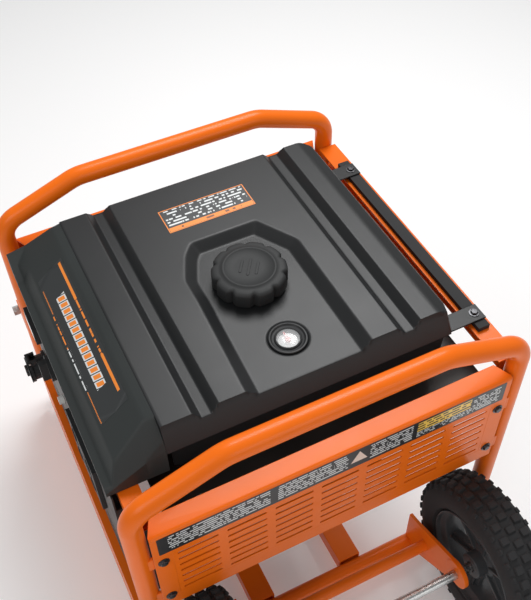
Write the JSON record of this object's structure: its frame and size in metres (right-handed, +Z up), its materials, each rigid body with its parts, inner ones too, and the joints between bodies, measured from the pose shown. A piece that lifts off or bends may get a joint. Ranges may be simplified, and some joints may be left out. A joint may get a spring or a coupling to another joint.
{
  "type": "portable generator",
  "caption": "Open-frame portable generator: tube hoop frame, fuel tank, control panel, pull-start engine driving an alternator, transport wheels and a fold-up handle.",
  "frame": {"origin": "on the floor, under the middle of the object's overall box", "axes": "+Z up, +Y from the wheels to the folding handle, control panel facing -X"},
  "size_m": [0.6718, 0.9226, 0.603],
  "materials": {
    "frame_paint": "glossy orange powder coat",
    "tank_finish": "fine-textured charcoal",
    "black_plastic": "satin moulded black",
    "rubber": "matte rubber",
    "tyre_rubber": "knobbed tyre rubber",
    "cast_aluminium": "sand-cast, bead blasted",
    "steel": "zinc plated",
    "black_steel": "satin black heat paint",
    "winding_core": "lacquered laminations and copper",
    "red_plastic": "gloss red",
    "white_plastic": "gloss white"
  },
  "bodies": {
    "frame": {"near_hoop": "frame_paint", "far_hoop": "frame_paint", "near_panel": "frame_paint", "far_panel": "frame_paint", "foot_left": "rubber", "foot_right": "rubber", "rear_rail": "frame_paint", "front_rail": "frame_paint", "base_rail_front": "frame_paint", "base_rail_rear": "frame_paint", "engine_mount_1": "rubber", "engine_mount_2": "rubber", "engine_mount_3": "rubber", "engine_mount_4": "rubber", "fuel_tank": "tank_finish", "tank_pad_front": "rubber", "tank_pad_rear": "rubber", "filler_neck": "steel", "gauge_bezel": "black_plastic", "fuel_tap": "cast_aluminium", "fuel_hose": "rubber", "front_cover": "black_plastic", "control_panel": "black_steel", "twist_socket": "black_plastic", "socket_lid_pin": "steel", "outlet_block": "black_plastic", "display_meter": "black_plastic", "crankcase": "cast_aluminium", "cylinder_head": "cast_aluminium", "fan_shroud": "black_plastic", "recoil_cover": "black_plastic", "alternator_stator": "winding_core", "alternator_housing": "cast_aluminium", "alternator_end_cover": "cast_aluminium", "carburettor": "cast_aluminium", "air_filter_box": "black_plastic", "muffler": "black_steel", "muffler_guard": "steel", "axle": "steel", "handle_bolt_left": "steel", "handle_bolt_right": "steel"},
    "fuel_cap": {"fuel_cap": "black_plastic"},
    "gauge_needle": {"gauge_needle": "red_plastic"},
    "tap_lever": {"fuel_tap_lever": "black_plastic"},
    "socket_lid": {"socket_lid": "black_plastic"},
    "engine_switch": {"engine_switch": "red_plastic"},
    "breaker_button": {"breaker_button": "white_plastic"},
    "recoil_grip": {"recoil_grip": "black_plastic"},
    "recoil_pulley": {"recoil_pulley": "black_plastic"},
    "crank": {"crankshaft": "steel", "flywheel": "cast_aluminium", "alternator_rotor": "steel"},
    "choke_lever": {"choke_lever": "black_steel"},
    "dipstick": {"dipstick": "black_plastic"},
    "wheel_left": {"tyre_left": "tyre_rubber", "rim_left": "tank_finish"},
    "wheel_right": {"tyre_right": "tyre_rubber", "rim_right": "tank_finish"},
    "handle": {"handle_tube": "frame_paint", "handle_grip": "rubber"}
  },
  "joints": [
    {"name": "fuel_cap_turn", "type": "hinge", "parent": "frame", "child": "fuel_cap", "pos_m": [0.00328, 0.08166, 0.59], "axis": [0, 0, 1], "range_deg": [0, 120]},
    {"name": "gauge_pointer", "type": "hinge", "parent": "frame", "child": "gauge_needle", "pos_m": [0.00428, -0.04134, 0.56], "axis": [0, 0, 1], "range_deg": [-60, 60]},
    {"name": "tap_lever_turn", "type": "hinge", "parent": "frame", "child": "tap_lever", "pos_m": [-0.20272, 0.28766, 0.4237], "axis": [1, 0, 0], "range_deg": [0, 90]},
    {"name": "socket_lid_flip", "type": "hinge", "parent": "frame", "child": "socket_lid", "pos_m": [-0.33202, 0.29466, 0.3225], "axis": [0, 1, 0], "range_deg": [0, 100], "stiffness_Nm_per_rad": 0.02},
    {"name": "engine_switch_turn", "type": "hinge", "parent": "frame", "child": "engine_switch", "pos_m": [-0.30572, 0.17966, 0.42], "axis": [1, 0, 0], "range_deg": [-45, 45]},
    {"name": "breaker_press", "type": "slide", "parent": "frame", "child": "breaker_button", "axis": [-1, 0, 0], "range_m": [0, 0.003]},
    {"name": "recoil_pull", "type": "slide", "parent": "frame", "child": "recoil_grip", "axis": [-1, 0, 0], "range_m": [0, 0.45], "stiffness_N_per_m": 20, "springref_m": -0.2},
    {"name": "recoil_pulley_turn", "type": "hinge", "parent": "frame", "child": "recoil_pulley", "pos_m": [-0.02372, 0.35866, 0.202], "axis": [0, -1, 0], "range_deg": [0, 470]},
    {"name": "crank_spin", "type": "hinge", "parent": "frame", "child": "crank", "pos_m": [-0.02372, 0.19716, 0.202], "axis": [0, 1, 0], "continuous": true},
    {"name": "choke_turn", "type": "hinge", "parent": "frame", "child": "choke_lever", "pos_m": [-0.03842, 0.16466, 0.36], "axis": [0, 1, 0], "range_deg": [0, 60]},
    {"name": "dipstick_turn", "type": "hinge", "parent": "frame", "child": "dipstick", "pos_m": [-0.12672, 0.15966, 0.127], "axis": [1, 0, 0], "range_deg": [0, 300]},
    {"name": "wheel_left_spin", "type": "hinge", "parent": "frame", "child": "wheel_left", "pos_m": [-0.21972, -0.31134, 0.15], "axis": [1, 0, 0], "continuous": true},
    {"name": "wheel_right_spin", "type": "hinge", "parent": "frame", "child": "wheel_right", "pos_m": [0.23228, -0.31134, 0.15], "axis": [1, 0, 0], "continuous": true},
    {"name": "handle_fold", "type": "hinge", "parent": "frame", "child": "handle", "pos_m": [0.00628, 0.44466, 0.292], "axis": [1, 0, 0], "range_deg": [0, 100]}
  ],
  "couplings": [
    {"joint": "recoil_pulley_turn", "follows": "recoil_pull", "rad_per_m": 18.182}
  ]
}
